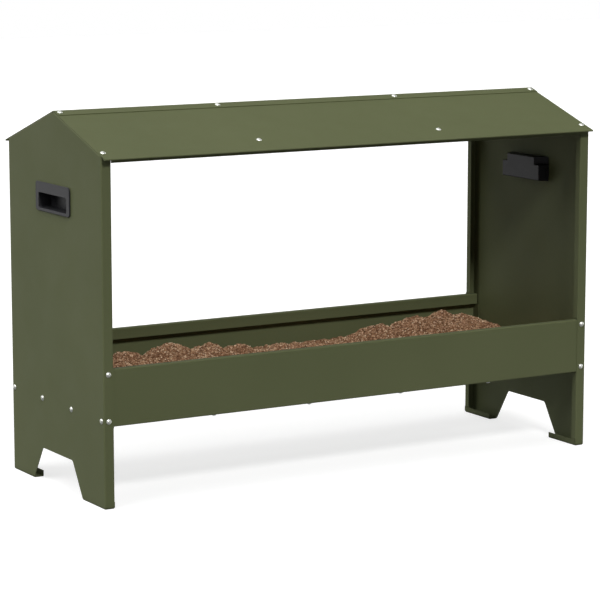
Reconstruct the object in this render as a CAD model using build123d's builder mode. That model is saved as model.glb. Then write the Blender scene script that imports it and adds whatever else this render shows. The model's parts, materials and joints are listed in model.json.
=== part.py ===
"""Roofed open-trough poultry feeder of folded sheet steel, screwed together.

Millimetres. X runs along the trough, Y from front to rear, Z up. The origin is on the
ground at the middle of the feeder.
"""
import os
from math import cos, radians, sin, sqrt, tan

from build123d import *

os.makedirs("parts", exist_ok=True)

# Driving dimensions
length = 1000.0
depth = 366.6
sheet = 1.2
bend_inner = 1.0
bend_outer = bend_inner + sheet
panel_gap = 0.2

# Side panels
flange = 18.7
return_lip = 12.9
foot_length = 84.8
foot_lip = 10.7
leg_gap_height = 61.4
leg_gap_top = 119.2
leg_gap_radius = 8.0
corner_relief = 1.0

# Roof
pitch = radians(18.3)
gable_peak = 657.0
roof_length = 998.6
eave_overhang = 13.85
eave_hem = 2.9
hem_radius = 1.4
hem_width = 8.0
hem_gap = 0.25
eave_lip = 9.5
eave_notch_x = 481.1
lap_width = 21.5
brace_depth = 15.0
brace_length = 178.0

# Trough
trough_bottom = 140.5
trough_top = 239.2
rim_width = 13.5
rim_lip = 19.6
trough_foot = 20.0
tab_depth = 20.0
tab_overlap = 8.0
trough_clearance = 2.0
pan_end_height = 22.0
pan_end_half = 150.0

# Recessed handles
handle_height = 508.0
bezel_width = 133.0
bezel_tall = 50.5
bezel_radius = 6.0
bezel_proud = 3.0
bezel_plate = 1.2
bezel_reveal = 1.5
cutout_width = 124.0
cutout_top = 23.4
cutout_bottom = -22.9
opening_width = 109.5
opening_tall = 26.8
opening_drop = 6.95
opening_radius = 3.0
pocket_depth = 22.2
pocket_wall = 2.0
pocket_draft = 5.0
housing_width = 122.0
housing_tall = 33.0
housing_drop = 6.1
housing_corner = 4.0
housing_edge = 1.5
housing_top = 23.0
hood_bottom = 3.5
hood_half_outer = 58.0
hood_half_inner = 43.5
snap_rib = (4.0, 12.0, 6.0)

# M5 fasteners
hole_radius = 2.75
shank_radius = 2.4
head_radius = 4.75
head_height = 2.75
head_rim = 0.3
tip_chamfer = 0.5
socket_width = 3.0
socket_depth = 1.5
nut_width = 8.0
nut_height = 2.7
nut_chamfer = 0.5
nut_clearance = 0.1
screw_reach = 0.9

# Screw places
side_row = (-174.0, -58.0, 58.0, 174.0)
side_row_height = 150.5
flange_screw_inset = 9.35
flange_screw_heights = (150.5, 230.4)
pan_row = (-286.0, -95.3, 95.3, 286.0)
pan_screw_inset = 8.5
roof_end_x = 490.5
brace_x = 184.7
ridge_screw = 9.8
end_eave_screw = 26.5
brace_eave_screw = 43.1

# Feed heap
feed_gap = 0.3
feed_half_length = 493.5
feed_half_depth = 176.8
feed_top = (
    (-feed_half_length, 187.0),
    (-80.0, 193.0),
    (150.0, 206.0),
    (300.0, 212.0),
    (feed_half_length, 196.0),
)

half_length = length / 2
half_depth = depth / 2
web_inner = half_length - sheet
panel_end = web_inner - panel_gap
face_y = half_depth - sheet
pan_bottom = trough_bottom + sheet
pan_top = pan_bottom + sheet
eave_run = (half_depth + eave_overhang) / cos(pitch)
lap_shift = sheet / (2 * sin(pitch))
foot_half = half_depth - foot_length
x_ends = (-1, 1)
y_sides = (-1, 1)


def on_slope(side, run, lift):
    """Y and Z of a point that lies run down the gable slope and lift above it."""
    y = side * (run * cos(pitch) + lift * sin(pitch))
    return y, gable_peak - run * sin(pitch) + lift * cos(pitch)


def slope_plane(side, x, run, lift):
    """Plane on the roof slope, facing out of it."""
    y, z = on_slope(side, run, lift)
    return Plane(origin=(x, y, z), x_dir=(1, 0, 0), z_dir=(0, side * sin(pitch), cos(pitch)))


def folded(plane, points, side, radii=bend_outer):
    """Section of one sheet whose one face follows the points, bent at each with the radii."""
    with BuildSketch(plane) as section:
        with BuildLine():
            FilletPolyline(*points, radius=radii)
            offset(amount=sheet, side=side)
        make_face()
    return section.sketch


def channel_section(z, lipped):
    """Side panel in plan: the web with its front and rear flanges, with or without lips."""
    inner = -half_length + flange
    corners = [
        (inner, -half_depth),
        (-half_length, -half_depth),
        (-half_length, half_depth),
        (inner, half_depth),
    ]
    if lipped:
        corners.insert(0, (inner, -half_depth + return_lip))
        corners.append((inner, half_depth - return_lip))
    return folded(Plane.XY.offset(z), corners, Side.RIGHT)


def slope_flange(side, web_x, run):
    """Section of a flange bent off a web at web_x so that it lies in the gable slope."""
    y, z = on_slope(side, run, 0)
    plane = Plane(origin=(web_x, y, z), x_dir=(1, 0, 0), z_dir=(0, -cos(pitch), side * sin(pitch)))
    return folded(plane, [(0, -2 * bend_outer), (0, 0), (flange, 0)], Side.RIGHT)


def side_screw_planes(end):
    """Places of the screws in the row across one side panel."""
    return [Plane(origin=(end * half_length, y, side_row_height), z_dir=(end, 0, 0)) for y in side_row]


def flange_screw_planes(side):
    """Places of the screws through the side panels' front or rear flanges."""
    x = half_length - flange_screw_inset
    origins = [(end * x, side * half_depth, z) for end in x_ends for z in flange_screw_heights]
    return [Plane(origin=origin, x_dir=(1, 0, 0), z_dir=(0, side, 0)) for origin in origins]


def pan_screw_planes(side):
    """Places of the screws that come up through one trough panel into the pan."""
    y = side * (half_depth - pan_screw_inset)
    return [Plane(origin=(x, y, trough_bottom), z_dir=(0, 0, -1)) for x in pan_row]


def ridge_screw_planes():
    """Places of the screws through the ridge lap, on the front slope."""
    xs = (-roof_end_x, -brace_x, brace_x, roof_end_x)
    return [slope_plane(-1, x, ridge_screw, 2 * sheet) for x in xs]


def eave_screw_planes(side):
    """Places of the screws along one eave: the gable flanges', then the braces'."""
    ends = [slope_plane(side, end * roof_end_x, eave_run - end_eave_screw, sheet) for end in x_ends]
    middle = [slope_plane(side, end * brace_x, eave_run - brace_eave_screw, sheet) for end in x_ends]
    return ends + middle


def below(plane, distance):
    """The plane moved back along its own normal."""
    return plane.offset(-distance)


# One M5 dome-head screw for each stack of sheets, head up, seated on Z = 0
def make_screw(stack):
    """Dome-head hex-socket screw that reaches just through its nut."""
    tip = stack + nut_height + screw_reach
    with BuildPart() as screw:
        with BuildSketch(Plane.XZ):
            with BuildLine():
                TangentArc((0, head_height), (head_radius, head_rim), tangent=(1, 0))
                Polyline(
                    (head_radius, head_rim),
                    (head_radius, 0),
                    (shank_radius, 0),
                    (shank_radius, -tip + tip_chamfer),
                    (shank_radius - tip_chamfer, -tip),
                    (0, -tip),
                    (0, head_height),
                )
            make_face()
        revolve(axis=Axis.Z)
        with BuildSketch(Plane.XY.offset(head_height)):
            RegularPolygon(radius=socket_width / 2, side_count=6, major_radius=False)
        extrude(amount=-socket_depth, mode=Mode.SUBTRACT)
    return screw.part


# One thin M5 nut, its top face on Z = 0, where it meets the sheet
with BuildPart() as nut:
    with BuildSketch():
        RegularPolygon(radius=nut_width / 2, side_count=6, major_radius=False, rotation=30)
        Circle(shank_radius + nut_clearance, mode=Mode.SUBTRACT)
    extrude(amount=-nut_height)
    chamfer(nut.faces().sort_by(Axis.Z)[0].outer_wire().edges(), nut_chamfer)


# Side panels
with BuildPart() as left_side_panel:
    lip_zones = (
        (bend_outer, foot_lip + corner_relief, False),
        (foot_lip + corner_relief, trough_bottom - trough_clearance, True),
        (trough_bottom - trough_clearance, trough_top + trough_clearance, False),
        (trough_top + trough_clearance, gable_peak, True),
    )
    for low, high, lipped in lip_zones:
        extrude(channel_section(low, lipped), amount=high - low)
    # Gable cut, one bend below the slope, and close under the roof at the front and rear flanges
    flange_run = (half_depth - bend_outer) / cos(pitch)
    with BuildSketch(Plane.YZ.offset(-half_length)):
        with BuildLine():
            Polyline(
                on_slope(-1, eave_run, -hem_gap),
                on_slope(-1, flange_run + corner_relief, -hem_gap),
                on_slope(-1, flange_run + corner_relief, -bend_outer),
                (0, gable_peak - bend_outer / cos(pitch)),
                on_slope(1, flange_run + corner_relief, -bend_outer),
                on_slope(1, flange_run + corner_relief, -hem_gap),
                on_slope(1, eave_run, -hem_gap),
                (half_depth + flange, gable_peak + flange),
                (-half_depth - flange, gable_peak + flange),
                close=True,
            )
        make_face()
    extrude(amount=2 * flange, mode=Mode.SUBTRACT)
    # Gable flanges
    for side in y_sides:
        extrude(slope_flange(side, -half_length, flange_run), amount=side * (flange_run - 2 * corner_relief))
    # Feet
    for side in y_sides:
        inner = -half_length + flange
        foot_points = [(-half_length, 4 * bend_outer), (-half_length, 0), (inner, 0), (inner, foot_lip)]
        foot_plane = Plane.XZ.offset(-side * foot_half)
        foot_run = foot_length - bend_outer
        extrude(folded(foot_plane, foot_points, Side.LEFT), amount=-side * foot_run)
    # Gap between the legs
    with BuildSketch(Plane.YZ.offset(-half_length)):
        with BuildLine():
            foot_spread = foot_half - leg_gap_top / 2
            low_y = foot_half + foot_spread * bend_outer / leg_gap_height
            gap = Polyline(
                (-low_y, -bend_outer),
                (-leg_gap_top / 2, leg_gap_height),
                (leg_gap_top / 2, leg_gap_height),
                (low_y, -bend_outer),
                close=True,
            )
        make_face()
        fillet(gap.vertices().group_by(Axis.Y)[-1], leg_gap_radius)
    extrude(amount=2 * sheet, mode=Mode.SUBTRACT)
    # Handle cut-out, hidden by the bezel's collar
    with BuildSketch(Plane.YZ.offset(-half_length)):
        with Locations((0, handle_height + (cutout_top + cutout_bottom) / 2)):
            RectangleRounded(cutout_width, cutout_top - cutout_bottom, opening_radius)
    extrude(amount=2 * sheet, mode=Mode.SUBTRACT)
    # Screw holes
    hole_planes = side_screw_planes(-1)
    for side in y_sides:
        hole_planes += [p for p in flange_screw_planes(side) if p.origin.X < 0]
        hole_planes += [below(p, sheet) for p in eave_screw_planes(side)[:1]]
    hole_planes.append(below(ridge_screw_planes()[0], 2 * sheet))
    for plane in hole_planes:
        with BuildSketch(plane):
            Circle(hole_radius)
        extrude(amount=2 * sheet, both=True, mode=Mode.SUBTRACT)

with BuildPart() as right_side_panel:
    mirror(left_side_panel.part, about=Plane.YZ)


# Roof sheets: each eave is hemmed back under itself, with a lip down between the side panels
roof_end_plane = Plane.YZ.offset(-roof_length / 2)
hem_lift = sheet - eave_hem


def eave_points(side):
    """The eave in section: its edge, the hem, and the lip in line with the side panels."""
    lip_run = (half_depth - hem_lift * sin(pitch)) / cos(pitch)
    lip_y, lip_top = on_slope(side, lip_run, hem_lift)
    return [
        on_slope(side, eave_run, sheet),
        on_slope(side, eave_run, hem_lift),
        (lip_y, lip_top),
        (lip_y, lip_top - eave_lip),
    ]


eave_radii = [hem_radius, hem_radius, bend_inner]


def eave_notch(side, x):
    """Section to cut the return and its lip away where the side panel is."""
    hem_run = eave_run - hem_width
    with BuildSketch(Plane.YZ.offset(x)) as section:
        with BuildLine():
            Polyline(
                on_slope(side, hem_run, -hem_gap),
                on_slope(side, hem_run, -2 * eave_lip),
                on_slope(side, hem_run - 2 * flange, -2 * eave_lip),
                on_slope(side, hem_run - 2 * flange, -hem_gap),
                close=True,
            )
        make_face()
    return section.sketch


notch_length = roof_length / 2 - eave_notch_x
notch_starts = (-roof_length / 2, eave_notch_x)

with BuildPart() as roof_front_sheet:
    front_points = [on_slope(-1, 4 * bend_inner, sheet)] + eave_points(-1)
    extrude(folded(roof_end_plane, front_points, Side.LEFT, eave_radii), amount=roof_length)
    for x in notch_starts:
        extrude(eave_notch(-1, x), amount=notch_length, mode=Mode.SUBTRACT)
    for plane in ridge_screw_planes() + eave_screw_planes(-1):
        with BuildSketch(plane):
            Circle(hole_radius)
        extrude(amount=-3 * sheet, mode=Mode.SUBTRACT)

with BuildPart() as roof_rear_sheet:
    ridge_point = (-lap_shift, gable_peak + sheet / cos(pitch) + lap_shift * tan(pitch))
    rear_points = [on_slope(-1, lap_width, 2 * sheet), ridge_point] + eave_points(1)
    rear_radii = [bend_outer] + eave_radii
    extrude(folded(roof_end_plane, rear_points, Side.RIGHT, rear_radii), amount=roof_length)
    for x in notch_starts:
        extrude(eave_notch(1, x), amount=notch_length, mode=Mode.SUBTRACT)
    for plane in ridge_screw_planes() + eave_screw_planes(1):
        with BuildSketch(plane):
            Circle(hole_radius)
        extrude(amount=-2 * sheet, mode=Mode.SUBTRACT)


# Roof braces: a chevron web with a flange bent over along each slope
with BuildPart() as left_roof_brace:
    brace_web = -brace_x - flange / 2
    with BuildSketch(Plane.YZ.offset(brace_web)):
        with BuildLine():
            Polyline(
                on_slope(-1, brace_length, -bend_outer),
                (0, gable_peak - bend_outer / cos(pitch)),
                on_slope(1, brace_length, -bend_outer),
                on_slope(1, brace_length, -brace_depth),
                (0, gable_peak - brace_depth / cos(pitch)),
                on_slope(-1, brace_length, -brace_depth),
                close=True,
            )
        make_face()
    extrude(amount=sheet)
    for side in y_sides:
        extrude(slope_flange(side, brace_web, brace_length), amount=side * (brace_length - 2 * corner_relief))
    brace_holes = [below(ridge_screw_planes()[1], 2 * sheet)]
    brace_holes += [below(eave_screw_planes(side)[2], sheet) for side in y_sides]
    for plane in brace_holes:
        with BuildSketch(plane):
            Circle(hole_radius)
        extrude(amount=2 * sheet, both=True, mode=Mode.SUBTRACT)

with BuildPart() as right_roof_brace:
    mirror(left_roof_brace.part, about=Plane.YZ)


# Trough panels: foot, face, rim and rim lip in one section, with a tab at each end
with BuildPart() as trough_front_panel:
    front_section = [
        (-face_y + trough_foot, trough_bottom),
        (-face_y, trough_bottom),
        (-face_y, trough_top),
        (-face_y + rim_width, trough_top),
        (-face_y + rim_width, trough_top - rim_lip),
    ]
    section_end = panel_end - bend_inner
    extrude(folded(Plane.YZ.offset(-section_end), front_section, Side.RIGHT), amount=2 * section_end)
    tab_low = pan_top + trough_clearance
    tab_high = trough_top - rim_lip - trough_clearance
    for end in x_ends:
        # The ends are notched for the tab's bend, and the foot is cut back
        with Locations((end * panel_end, -face_y, (tab_low + tab_high) / 2)):
            Box(2 * bend_outer, 4 * sheet, tab_high - tab_low + 2 * corner_relief, mode=Mode.SUBTRACT)
        with Locations((end * panel_end, -face_y + bend_outer + trough_foot / 2, trough_bottom)):
            Box(2 * flange, trough_foot, 4 * sheet, mode=Mode.SUBTRACT)
    for end in x_ends:
        tab_points = [(end * (panel_end - tab_overlap), -face_y), (end * panel_end, -face_y)]
        tab_points.append((end * panel_end, -face_y + tab_depth))
        tab_side = Side.LEFT if end > 0 else Side.RIGHT
        extrude(folded(Plane.XY.offset(tab_low), tab_points, tab_side), amount=tab_high - tab_low)
    panel_holes = flange_screw_planes(-1) + pan_screw_planes(-1)
    panel_holes += [side_screw_planes(end)[0] for end in x_ends]
    for plane in panel_holes:
        with BuildSketch(plane):
            Circle(hole_radius)
        extrude(amount=-3 * sheet, mode=Mode.SUBTRACT)

with BuildPart() as trough_rear_panel:
    mirror(trough_front_panel.part, about=Plane.XZ)


# Trough pan: flat bottom on the panels' feet, ends turned up against the side panels
with BuildPart() as trough_bottom_pan:
    pan_points = [
        (-panel_end, pan_bottom + pan_end_height),
        (-panel_end, pan_bottom),
        (panel_end, pan_bottom),
        (panel_end, pan_bottom + pan_end_height),
    ]
    pan_half = face_y - 2 * bend_outer
    extrude(folded(Plane.XZ, pan_points, Side.LEFT), amount=pan_half, both=True)
    corner_cut = pan_half - pan_end_half
    with Locations(*[(x * panel_end, y * pan_half, pan_bottom) for x in x_ends for y in y_sides]):
        Box(4 * bend_outer, 2 * corner_cut, 4 * pan_end_height, mode=Mode.SUBTRACT)
    pan_holes = pan_screw_planes(-1) + pan_screw_planes(1)
    pan_holes += [plane for end in x_ends for plane in side_screw_planes(end)[1:3]]
    for plane in pan_holes:
        with BuildSketch(plane):
            Circle(hole_radius)
        extrude(amount=-3 * sheet, mode=Mode.SUBTRACT)


# Recessed handles: a bezel outside the panel and a finger pocket that rises behind it
def hood_section(z, front, outer, back, inner):
    """The hood in plan, from half-width outer at the front depth to inner at the back."""
    with BuildSketch(Plane.XY.offset(z)) as section:
        with BuildLine():
            Polyline(
                (-half_length + front, -outer),
                (-half_length + back, -inner),
                (-half_length + back, inner),
                (-half_length + front, outer),
                close=True,
            )
        make_face()
    return section.sketch


with BuildPart() as left_handle:
    panel_face = Plane(origin=(-half_length, 0, handle_height), x_dir=(0, 1, 0), z_dir=(1, 0, 0))
    # Bezel plate on a narrower collar, so that a shadow gap runs round it
    with BuildSketch(panel_face.offset(bezel_plate - bezel_proud)):
        RectangleRounded(bezel_width, bezel_tall, bezel_radius)
    extrude(amount=-bezel_plate)
    with BuildSketch(panel_face):
        collar_radius = bezel_radius - bezel_reveal
        RectangleRounded(bezel_width - 2 * bezel_reveal, bezel_tall - 2 * bezel_reveal, collar_radius)
    extrude(amount=-bezel_proud)
    fillet(left_handle.faces().sort_by(Axis.X)[0].outer_wire().edges(), bezel_plate / 2)
    # Housing behind the panel, and the hood above it
    with BuildSketch(panel_face):
        with Locations((0, -housing_drop)):
            RectangleRounded(housing_width, housing_tall, housing_corner)
    extrude(amount=pocket_depth, taper=pocket_draft)
    hood = hood_section(handle_height + hood_bottom, 0, hood_half_outer, pocket_depth, hood_half_inner)
    extrude(hood, amount=housing_top - hood_bottom)
    fillet(left_handle.faces().sort_by(Axis.X)[-1].outer_wire().edges(), housing_edge)
    # Opening and the space behind the bezel's top bar
    with BuildSketch(panel_face.offset(-bezel_proud)):
        with Locations((0, -opening_drop)):
            RectangleRounded(opening_width, opening_tall, opening_radius)
    opening_depth = bezel_proud + pocket_depth - pocket_wall
    extrude(amount=opening_depth, taper=pocket_draft / 2, mode=Mode.SUBTRACT)
    hollow = hood_section(
        handle_height + hood_bottom,
        pocket_wall,
        hood_half_outer - 2 * pocket_wall,
        pocket_depth - pocket_wall,
        hood_half_inner - pocket_wall,
    )
    extrude(hollow, amount=housing_top - pocket_wall - hood_bottom, mode=Mode.SUBTRACT)
    fillet(left_handle.faces().sort_by(Axis.X)[0].inner_wires()[0].edges(), bezel_plate / 2)
    # Snap ribs behind the panel
    rib_length, rib_height, rib_depth = snap_rib
    rib_y = housing_width / 2
    rib_middle = sheet + panel_gap + rib_depth / 2
    with Locations(*[panel_face * Location((y * rib_y, -housing_drop, rib_middle)) for y in y_sides]):
        Box(rib_length, rib_height, rib_depth)

with BuildPart() as right_handle:
    mirror(left_handle.part, about=Plane.YZ)


# Feed: one solid that fills the trough to its level, clear of the nuts
with BuildPart() as feed:
    with BuildSketch(Plane.XZ):
        with BuildLine():
            Polyline(
                (-feed_half_length, pan_top + feed_gap),
                *feed_top,
                (feed_half_length, pan_top + feed_gap),
                close=True,
            )
        make_face()
    extrude(amount=feed_half_depth, both=True)
    nut_room = nut_height + screw_reach + feed_gap
    for plane in pan_screw_planes(-1) + pan_screw_planes(1):
        with Locations((plane.origin.X, plane.origin.Y, pan_top)):
            Cylinder(nut_width / sqrt(3) + feed_gap, 2 * nut_room, mode=Mode.SUBTRACT)


# Fasteners
fasteners = {
    "ridge": (ridge_screw_planes(), 3 * sheet),
    "front_eave": (eave_screw_planes(-1), 2 * sheet),
    "rear_eave": (eave_screw_planes(1), 2 * sheet),
    "front_flange": (flange_screw_planes(-1), 2 * sheet),
    "rear_flange": (flange_screw_planes(1), 2 * sheet),
    "left_side": (side_screw_planes(-1), 2 * sheet + panel_gap),
    "right_side": (side_screw_planes(1), 2 * sheet + panel_gap),
    "front_pan": (pan_screw_planes(-1), 2 * sheet),
    "rear_pan": (pan_screw_planes(1), 2 * sheet),
}

pieces = {
    "left_side_panel": left_side_panel.part,
    "right_side_panel": right_side_panel.part,
    "roof_front_sheet": roof_front_sheet.part,
    "roof_rear_sheet": roof_rear_sheet.part,
    "left_roof_brace": left_roof_brace.part,
    "right_roof_brace": right_roof_brace.part,
    "trough_front_panel": trough_front_panel.part,
    "trough_rear_panel": trough_rear_panel.part,
    "trough_bottom_pan": trough_bottom_pan.part,
    "left_handle": left_handle.part,
    "right_handle": right_handle.part,
    "feed": feed.part,
}

for group, (planes, stack) in fasteners.items():
    with BuildPart() as screws:
        with Locations(*planes):
            add(make_screw(stack))
    with BuildPart() as nuts:
        with Locations(*[below(plane, stack) for plane in planes]):
            add(nut.part)
    pieces[group + "_screws"] = screws.part
    pieces[group + "_nuts"] = nuts.part

for name, piece in pieces.items():
    piece.label = name
    export_step(piece, f"parts/{name}.step")
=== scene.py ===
import json
from math import pi, radians

import bpy
import numpy as np
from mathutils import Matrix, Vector


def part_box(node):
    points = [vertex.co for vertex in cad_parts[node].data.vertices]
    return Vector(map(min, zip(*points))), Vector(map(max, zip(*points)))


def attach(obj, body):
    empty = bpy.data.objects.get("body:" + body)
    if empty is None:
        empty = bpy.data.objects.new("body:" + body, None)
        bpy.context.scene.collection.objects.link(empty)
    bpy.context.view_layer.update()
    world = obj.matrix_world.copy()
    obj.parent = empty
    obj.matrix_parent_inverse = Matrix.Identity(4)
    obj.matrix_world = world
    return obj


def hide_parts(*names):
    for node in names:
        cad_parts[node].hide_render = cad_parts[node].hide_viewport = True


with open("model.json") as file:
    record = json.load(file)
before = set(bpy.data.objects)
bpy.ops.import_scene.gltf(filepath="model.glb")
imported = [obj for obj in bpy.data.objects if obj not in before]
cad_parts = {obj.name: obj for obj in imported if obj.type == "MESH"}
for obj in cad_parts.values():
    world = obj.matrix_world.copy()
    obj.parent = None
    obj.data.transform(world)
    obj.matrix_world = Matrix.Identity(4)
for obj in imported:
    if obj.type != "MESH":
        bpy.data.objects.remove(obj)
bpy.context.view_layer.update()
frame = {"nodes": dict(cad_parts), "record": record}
nodes = frame["nodes"]

MM = 0.001


# Camera: level roll, looking down a little at the front from its left

LENS = 154.06
CAMERA_PLACE = (-2.367, -3.965, 1.039)
# Degrees to the right of +Y, and below the horizon
HEADING = 30.73
PITCH = 9.20


def make_camera():
    data = bpy.data.cameras.new("camera")
    data.lens = LENS
    data.dof.use_dof = False
    camera = bpy.data.objects.new("camera", data)
    camera.location = CAMERA_PLACE
    camera.rotation_euler = (pi / 2 - radians(PITCH), 0.0, -radians(HEADING))
    bpy.context.collection.objects.link(camera)
    bpy.context.scene.camera = camera


# Shader helpers

def new_material(name):
    material = bpy.data.materials.new(name)
    material.use_nodes = True
    tree = material.node_tree
    return material, tree, tree.nodes["Principled BSDF"]


def object_point(tree, scale=(1.0, 1.0, 1.0)):
    coordinates = tree.nodes.new("ShaderNodeTexCoord")
    mapping = tree.nodes.new("ShaderNodeMapping")
    mapping.inputs["Scale"].default_value = scale
    tree.links.new(coordinates.outputs["Object"], mapping.inputs["Vector"])
    return mapping.outputs["Vector"]


def noise(tree, point, scale, detail=3.0, roughness=0.55):
    node = tree.nodes.new("ShaderNodeTexNoise")
    node.inputs["Scale"].default_value = scale
    node.inputs["Detail"].default_value = detail
    node.inputs["Roughness"].default_value = roughness
    tree.links.new(point, node.inputs["Vector"])
    return node.outputs["Fac"]


def remap(tree, value, low, high, to_low, to_high):
    node = tree.nodes.new("ShaderNodeMapRange")
    node.inputs["From Min"].default_value = low
    node.inputs["From Max"].default_value = high
    node.inputs["To Min"].default_value = to_low
    node.inputs["To Max"].default_value = to_high
    tree.links.new(value, node.inputs["Value"])
    return node.outputs["Result"]


def ramp(tree, value, stops):
    node = tree.nodes.new("ShaderNodeValToRGB")
    elements = node.color_ramp.elements
    while len(elements) < len(stops):
        elements.new(0.5)
    for element, (position, colour) in zip(elements, stops):
        element.position = position
        element.color = (*colour, 1.0)
    tree.links.new(value, node.inputs["Fac"])
    return node.outputs["Color"]


def blend_colour(tree, amount, first, second, mode="MIX"):
    node = tree.nodes.new("ShaderNodeMix")
    node.data_type = "RGBA"
    node.blend_type = mode
    colour_inputs = [socket for socket in node.inputs if socket.type == "RGBA"]
    factor = node.inputs[0]
    for socket, value in ((factor, amount), (colour_inputs[0], first), (colour_inputs[1], second)):
        if isinstance(value, (float, int)):
            socket.default_value = value
        elif isinstance(value, tuple):
            socket.default_value = (*value, 1.0)
        else:
            tree.links.new(value, socket)
    return [socket for socket in node.outputs if socket.type == "RGBA"][0]


def bump(tree, shader, height, strength, distance, normal=None):
    node = tree.nodes.new("ShaderNodeBump")
    node.inputs["Strength"].default_value = strength
    node.inputs["Distance"].default_value = distance
    tree.links.new(height, node.inputs["Height"])
    if normal is not None:
        tree.links.new(normal, node.inputs["Normal"])
    tree.links.new(node.outputs["Normal"], shader.inputs["Normal"])
    return node.outputs["Normal"]


# Materials

def powder_coat():
    material, tree, shader = new_material("olive_powder_coat")
    point = object_point(tree)
    drift = noise(tree, point, 3.0, 2.0)
    base = ramp(tree, drift, ((0.30, (0.115, 0.130, 0.063)), (0.70, (0.127, 0.142, 0.070))))
    speck = noise(tree, point, 1500.0, 2.0)
    fleck = remap(tree, speck, 0.3, 0.7, 0.94, 1.06)
    colour = blend_colour(tree, 1.0, base, fleck, "MULTIPLY")
    tree.links.new(colour, shader.inputs["Base Color"])
    patch = noise(tree, point, 14.0, 4.0)
    tree.links.new(remap(tree, patch, 0.3, 0.7, 0.50, 0.60), shader.inputs["Roughness"])
    shader.inputs["Specular IOR Level"].default_value = 0.08
    peel = noise(tree, point, 620.0, 3.0)
    first = bump(tree, shader, peel, 0.10, 0.0004)
    slow = noise(tree, point, 9.0, 1.0)
    bump(tree, shader, slow, 0.05, 0.004, first)
    return material


def bright_zinc():
    material, tree, shader = new_material("bright_zinc")
    point = object_point(tree)
    cloud = noise(tree, point, 260.0, 4.0)
    colour = ramp(tree, cloud, ((0.30, (0.86, 0.88, 0.82)), (0.70, (0.95, 0.96, 0.92))))
    tree.links.new(colour, shader.inputs["Base Color"])
    tree.links.new(remap(tree, cloud, 0.3, 0.7, 0.42, 0.50), shader.inputs["Roughness"])
    shader.inputs["Metallic"].default_value = 1.0
    grain = noise(tree, object_point(tree, (1.0, 1.0, 0.15)), 2600.0, 2.0)
    bump(tree, shader, grain, 0.12, 0.0001)
    return material


def black_plastic():
    material, tree, shader = new_material("moulded_black_plastic")
    point = object_point(tree)
    cloud = noise(tree, point, 40.0, 3.0)
    colour = ramp(tree, cloud, ((0.30, (0.021, 0.021, 0.023)), (0.70, (0.028, 0.028, 0.031))))
    tree.links.new(colour, shader.inputs["Base Color"])
    tree.links.new(remap(tree, cloud, 0.3, 0.7, 0.32, 0.40), shader.inputs["Roughness"])
    shader.inputs["Specular IOR Level"].default_value = 0.18
    texture = noise(tree, point, 1400.0, 4.0)
    bump(tree, shader, texture, 0.22, 0.0002)
    return material


# Cells per metre in the imported heap, and the darkest share of the tones that they take, as painted shade
# in the gaps between the crumbs
PACKED_CELLS = 430.0
PACKED_PAINTED_SHADE_SHARE = 0.32
FEED_TONES = (
    (0.00, (0.120, 0.056, 0.029)),
    (0.15, (0.260, 0.134, 0.072)),
    (0.45, (0.440, 0.250, 0.138)),
    (0.80, (0.650, 0.415, 0.255)),
    (1.00, (0.900, 0.710, 0.500)),
)


def grain_feed(name, loose):
    """Feed tones: one for each loose crumb, or one for each cell of the heap beneath them, where the heap
    takes only the darkest tones as painted shade between the crumbs.
    """
    material, tree, shader = new_material(name)
    point = object_point(tree)
    if loose:
        geometry = tree.nodes.new("ShaderNodeNewGeometry")
        pick = geometry.outputs["Random Per Island"]
    else:
        cells = tree.nodes.new("ShaderNodeTexVoronoi")
        cells.inputs["Scale"].default_value = PACKED_CELLS
        tree.links.new(point, cells.inputs["Vector"])
        split = tree.nodes.new("ShaderNodeSeparateColor")
        tree.links.new(cells.outputs["Color"], split.inputs["Color"])
        # The heap's cells take only the darkest share of the tones: painted shade in the gaps between the
        # crumbs
        pick = remap(tree, split.outputs["Red"], 0.0, 1.0, 0.0, PACKED_PAINTED_SHADE_SHARE)
    tones = ramp(tree, pick, FEED_TONES)
    mottle = remap(tree, noise(tree, point, 900.0, 4.0), 0.3, 0.7, 0.78, 1.22)
    colour = blend_colour(tree, 1.0, tones, mottle, "MULTIPLY")
    tree.links.new(colour, shader.inputs["Base Color"])
    shader.inputs["Specular IOR Level"].default_value = 0.2
    wear = remap(tree, noise(tree, point, 500.0), 0.3, 0.7, 0.72, 0.92)
    tree.links.new(wear, shader.inputs["Roughness"])
    bump(tree, shader, noise(tree, point, 2200.0, 5.0, 0.65), 0.5, 0.0004)
    return material


def pale_floor():
    material, tree, shader = new_material("pale_floor")
    point = object_point(tree)
    drift = noise(tree, point, 2.0, 4.0)
    tone = ramp(tree, drift, ((0.3, (0.49, 0.49, 0.49)), (0.7, (0.51, 0.51, 0.51))))
    tree.links.new(tone, shader.inputs["Base Color"])
    shader.inputs["Roughness"].default_value = 0.9
    shader.inputs["Specular IOR Level"].default_value = 0.1
    shader.inputs["Emission Color"].default_value = (1.0, 1.0, 1.0, 1.0)
    shader.inputs["Emission Strength"].default_value = 0.72
    return material


def finish_cad_nodes():
    finishes = {
        "painted_steel": powder_coat(),
        "zinc": bright_zinc(),
        "black_plastic": black_plastic(),
    }
    slots = {entry["node"]: entry["material_slot"] for entry in frame["record"]["subparts"]}
    for name, node in nodes.items():
        finish = finishes.get(slots[name])
        if finish is not None:
            for material_slot in node.material_slots:
                material_slot.material = finish


# Feed heap: poured mounds on a shallow bed, inside the trough's walls

feed_low, feed_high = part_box("feed")
# How far the heap and its crumbs reach past the CAD feed, towards the trough's walls
HEAP_REACH = 0.003
CRUMB_REACH = 0.0035
HEAP_HALF_X = feed_high[0] + HEAP_REACH
HEAP_HALF_Y = feed_high[1] + HEAP_REACH
# The bed is lowest at mid length and rises towards both ends
BED_LEVEL = 0.175
BED_RISE = 0.012
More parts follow.
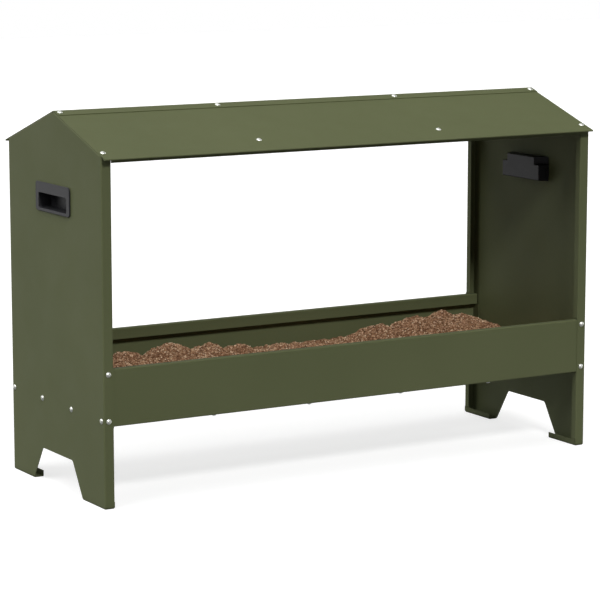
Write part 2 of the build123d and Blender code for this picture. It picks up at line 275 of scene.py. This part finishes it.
# Mounds: X and Y of the peak, and how high it stands
MOUNDS = (
    (-0.31, 0.11, 0.205),
    (-0.22, 0.10, 0.215),
    (-0.14, 0.10, 0.205),
    (-0.07, 0.12, 0.195),
    (0.02, 0.12, 0.190),
    (0.21, 0.08, 0.215),
    (0.29, 0.07, 0.225),
    (0.34, 0.06, 0.230),
    (0.38, 0.05, 0.225),
    (-0.36, -0.07, 0.205),
    (-0.12, -0.06, 0.195),
    (0.33, -0.09, 0.210),
)
MOUND_SLOPE = 0.60
MOUND_ROUND = 0.015
MOUND_BLEND = 500.0
# Waves over the heap, as wavelength and height, with some of each in random directions
LUMP_WAVES = ((0.090, 0.0008), (0.055, 0.0007), (0.032, 0.0006), (0.018, 0.0005))
WAVES_OF_EACH = 4
HEAP_GRID = (331, 121)
HEAP_GRIT = 0.0006
# Crumbs start this far inside the heap's edge
CRUMB_MARGIN = 0.004
CRUMBS_EACH = 16000
FEED_SEED = 20


def heap_height(x, y, lumps):
    layers = [BED_LEVEL + BED_RISE * (x / HEAP_HALF_X) ** 2]
    for mound_x, mound_y, top in MOUNDS:
        reach = np.sqrt((x - mound_x) ** 2 + (y - mound_y) ** 2 + MOUND_ROUND ** 2) - MOUND_ROUND
        layers.append(top - MOUND_SLOPE * reach)
    layers = np.stack(layers)
    highest = layers.max(axis=0)
    height = highest + np.log(np.exp((layers - highest) * MOUND_BLEND).sum(axis=0)) / MOUND_BLEND
    for kx, ky, phase, size in lumps:
        height += size * np.sin(kx * x + ky * y + phase)
    return height


def heap_lumps(rng):
    waves = []
    for wavelength, size in LUMP_WAVES:
        for _ in range(WAVES_OF_EACH):
            angle = rng.uniform(0.0, 2.0 * pi)
            k = 2.0 * pi / wavelength
            waves.append((k * np.cos(angle), k * np.sin(angle), rng.uniform(0.0, 2.0 * pi), size))
    return waves


def mesh_object(name, vertices, faces, material):
    mesh = bpy.data.meshes.new(name)
    mesh.from_pydata(vertices, [], faces)
    mesh.materials.append(material)
    mesh.update()
    piece = bpy.data.objects.new(name, mesh)
    bpy.context.collection.objects.link(piece)
    return piece


def make_heap(rng, lumps, material):
    columns, rows = HEAP_GRID
    xs = np.linspace(-HEAP_HALF_X, HEAP_HALF_X, columns)
    ys = np.linspace(-HEAP_HALF_Y, HEAP_HALF_Y, rows)
    x, y = np.meshgrid(xs, ys)
    z = heap_height(x, y, lumps) + rng.normal(0.0, HEAP_GRIT, x.shape)
    top = np.stack((x, y, z), axis=-1).reshape(-1, 3)
    bottom = top.copy()
    bottom[:, 2] = feed_low[2]
    count = columns * rows
    faces = []
    for row in range(rows - 1):
        for column in range(columns - 1):
            a = row * columns + column
            b, c, d = a + 1, a + columns + 1, a + columns
            faces.append((a, b, c, d))
            faces.append((a + count, d + count, c + count, b + count))
    rim = list(range(columns))
    rim += [row * columns + columns - 1 for row in range(1, rows)]
    rim += [(rows - 1) * columns + column for column in range(columns - 2, -1, -1)]
    rim += [row * columns for row in range(rows - 2, 0, -1)]
    for first, second in zip(rim, rim[1:] + rim[:1]):
        faces.append((first, first + count, second + count, second))
    return mesh_object("feed_heap", np.concatenate((top, bottom)).tolist(), faces, material)


def lying_turns(rng, count):
    """Turns about Z by any angle, after a tilt that leaves a crumb more or less lying down."""
    turn = rng.uniform(0.0, 2.0 * pi, count)
    tilt = rng.normal(0.0, CRUMB_TILT, count)
    c, s, ct, st = np.cos(turn), np.sin(turn), np.cos(tilt), np.sin(tilt)
    none = np.zeros(count)
    return np.stack((
        np.stack((c * ct, -s, c * st), axis=-1),
        np.stack((s * ct, c, s * st), axis=-1),
        np.stack((-st, none, ct), axis=-1),
    ), axis=1)


CRUMB_CORNERS = np.array([(x, y, z) for z in (-1, 1) for y in (-1, 1) for x in (-1, 1)], float)
CRUMB_FACES = np.array([
    (0, 2, 3, 1), (4, 5, 7, 6), (0, 1, 5, 4),
    (2, 6, 7, 3), (0, 4, 6, 2), (1, 3, 7, 5),
])
# Shortest and longest half size of a crumb along, across and through it, in millimetres
CRUMB_HALF_SIZES = ((1.3, 2.5), (0.8, 1.3), (0.7, 1.1))
CRUMB_TILT = 0.45


def make_crumbs(name, rng, lumps, low_x, high_x, count, material):
    """Loose crumbs of feed, longer than wide, resting in the heap between two X limits."""
    x = rng.uniform(low_x, high_x, count)
    y = rng.uniform(-HEAP_HALF_Y + CRUMB_MARGIN, HEAP_HALF_Y - CRUMB_MARGIN, count)
    half = MM * np.stack([rng.uniform(*sizes, count) for sizes in CRUMB_HALF_SIZES], axis=-1)
    corners = CRUMB_CORNERS[None] * rng.uniform(0.60, 1.0, (count, 8, 3)) * half[:, None, :]
    corners = np.einsum("nij,nkj->nki", lying_turns(rng, count), corners)
    z = heap_height(x, y, lumps) + rng.uniform(-0.1, 1.1, count) * half[:, 2]
    corners += np.stack((x, y, z), axis=-1)[:, None, :]
    limit_x, limit_y = feed_high[0] + CRUMB_REACH, feed_high[1] + CRUMB_REACH
    corners[..., 0] = np.clip(corners[..., 0], -limit_x, limit_x)
    corners[..., 1] = np.clip(corners[..., 1], -limit_y, limit_y)
    faces = CRUMB_FACES[None] + 8 * np.arange(count)[:, None, None]
    return mesh_object(name, corners.reshape(-1, 3).tolist(), faces.reshape(-1, 4).tolist(), material)


def make_feed():
    rng = np.random.default_rng(FEED_SEED)
    lumps = heap_lumps(rng)
    heap = make_heap(rng, lumps, grain_feed("packed_feed_painted_shade", loose=False))
    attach(heap, "root")
    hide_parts("feed")
    crumb_material = grain_feed("crumb_feed", loose=True)
    limits = np.linspace(-HEAP_HALF_X + CRUMB_MARGIN, HEAP_HALF_X - CRUMB_MARGIN, 4)
    for name, low_x, high_x in zip(("left", "middle", "right"), limits, limits[1:]):
        crumbs = make_crumbs("feed_crumbs_" + name, rng, lumps, low_x, high_x, CRUMBS_EACH, crumb_material)
        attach(crumbs, "root")


# Stage: floor, world and lamps

FLOOR_HALF = 12.0


def make_floor():
    corners = [(x * FLOOR_HALF, y * FLOOR_HALF, 0.0) for x, y in ((-1, -1), (1, -1), (1, 1), (-1, 1))]
    floor = mesh_object("floor", corners, [(0, 1, 2, 3)], pale_floor())
    floor.visible_diffuse = False
    floor.visible_glossy = False


# Each soft sun: where its light comes from, the angle that it spreads over, and its strength
SUNS = {
    "key": ((-0.15, -0.75, 0.65), 10.0, 0.53),
    "front_fill": ((-0.3, -1.0, 0.2), 100.0, 0.06),
    "left": ((-1.0, 0.0, 1.0), 50.0, 0.55),
    "right": ((1.0, 0.0, 0.2), 40.0, 0.30),
    "overhead": ((0.0, 0.0, 1.0), 60.0, 0.12),
    "back": ((0.0, 1.0, 0.5), 50.0, 0.25),
    "back_left": ((-0.5, 0.85, 0.1), 45.0, 0.15),
}
GLOW_SIZE = 8.0
GLOW_STRENGTH = 0.20
GLOW_LIFT = 0.002


def make_sun(name, source, spread, strength):
    data = bpy.data.lights.new(name, "SUN")
    data.angle = radians(spread)
    data.energy = pi * strength
    lamp = bpy.data.objects.new(name, data)
    lamp.rotation_euler = Vector(source).to_track_quat("Z", "Y").to_euler()
    bpy.context.collection.objects.link(lamp)


def make_floor_glow():
    """The light that a white studio floor throws back up."""
    data = bpy.data.lights.new("floor_glow", "AREA")
    data.shape = "SQUARE"
    data.size = GLOW_SIZE
    data.energy = pi * GLOW_STRENGTH * GLOW_SIZE ** 2
    lamp = bpy.data.objects.new("floor_glow", data)
    lamp.location = (0.0, 0.0, GLOW_LIFT)
    lamp.rotation_euler = (pi, 0.0, 0.0)
    bpy.context.collection.objects.link(lamp)


def make_light():
    world = bpy.data.worlds.new("studio")
    bpy.context.scene.world = world
    world.use_nodes = True
    background = world.node_tree.nodes["Background"]
    background.inputs["Color"].default_value = (1.0, 1.0, 1.0, 1.0)
    background.inputs["Strength"].default_value = 1.0
    world.cycles_visibility.diffuse = False
    world.cycles_visibility.glossy = False
    for name, (source, spread, strength) in SUNS.items():
        make_sun(name, source, spread, strength)
    make_floor_glow()
    bpy.context.scene.view_settings.view_transform = "Standard"


make_camera()
finish_cad_nodes()
make_feed()
make_floor()
make_light()
